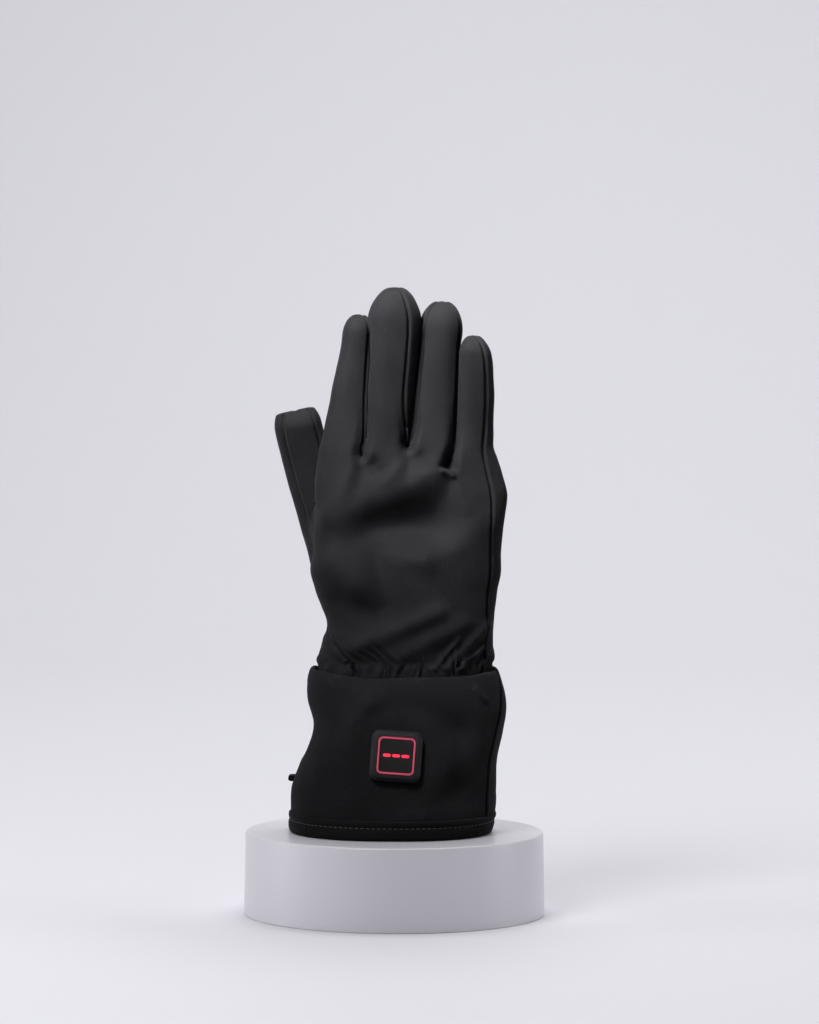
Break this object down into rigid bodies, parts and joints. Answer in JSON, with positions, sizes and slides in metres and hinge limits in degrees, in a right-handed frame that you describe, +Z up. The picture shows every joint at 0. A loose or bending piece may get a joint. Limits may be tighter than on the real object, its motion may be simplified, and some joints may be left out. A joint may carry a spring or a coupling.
{
  "type": "heated glove on round display plinth",
  "caption": "Right-hand padded softshell heated glove with gathered wrist, gauntlet cuff and a square lit control button, standing fingers up on a plain round plinth.",
  "frame": {"origin": "middle of the plinth's underside, on the surface it stands on", "axes": "+Z up along the fingers, -Y out of the back of the hand towards the viewer, -X to the thumb's side"},
  "size_m": [0.1616, 0.1616, 0.337],
  "materials": {
    "softshell": "matt bonded softshell cloth",
    "binding_cloth": "matt woven binding",
    "black_plastic": "satin",
    "red_light": "clear red lit plastic",
    "pale_lacquer": "satin lacquer over solid board"
  },
  "bodies": {
    "glove": {"display_plinth": "pale_lacquer", "hand_back_panel": "softshell", "hand_palm_panel": "softshell", "fourchette_index_middle": "softshell", "fourchette_middle_ring": "softshell", "fourchette_ring_little": "softshell", "thumb_outer_strip": "softshell", "thumb_face_strip": "softshell", "thumb_inner_strip": "softshell", "cuff_back_panel": "softshell", "cuff_palm_panel": "softshell", "hem_binding": "binding_cloth", "button_bezel": "black_plastic", "button_light_frame": "red_light", "seam_tab": "binding_cloth"},
    "key": {"button_key": "black_plastic", "key_light_1": "red_light", "key_light_2": "red_light", "key_light_3": "red_light"}
  },
  "joints": [
    {"name": "key_press", "type": "slide", "parent": "glove", "child": "key", "axis": [0, 0.9725, -0.2331], "range_m": [0, 0.0008], "stiffness_N_per_m": 300, "springref_m": -0.002}
  ]
}
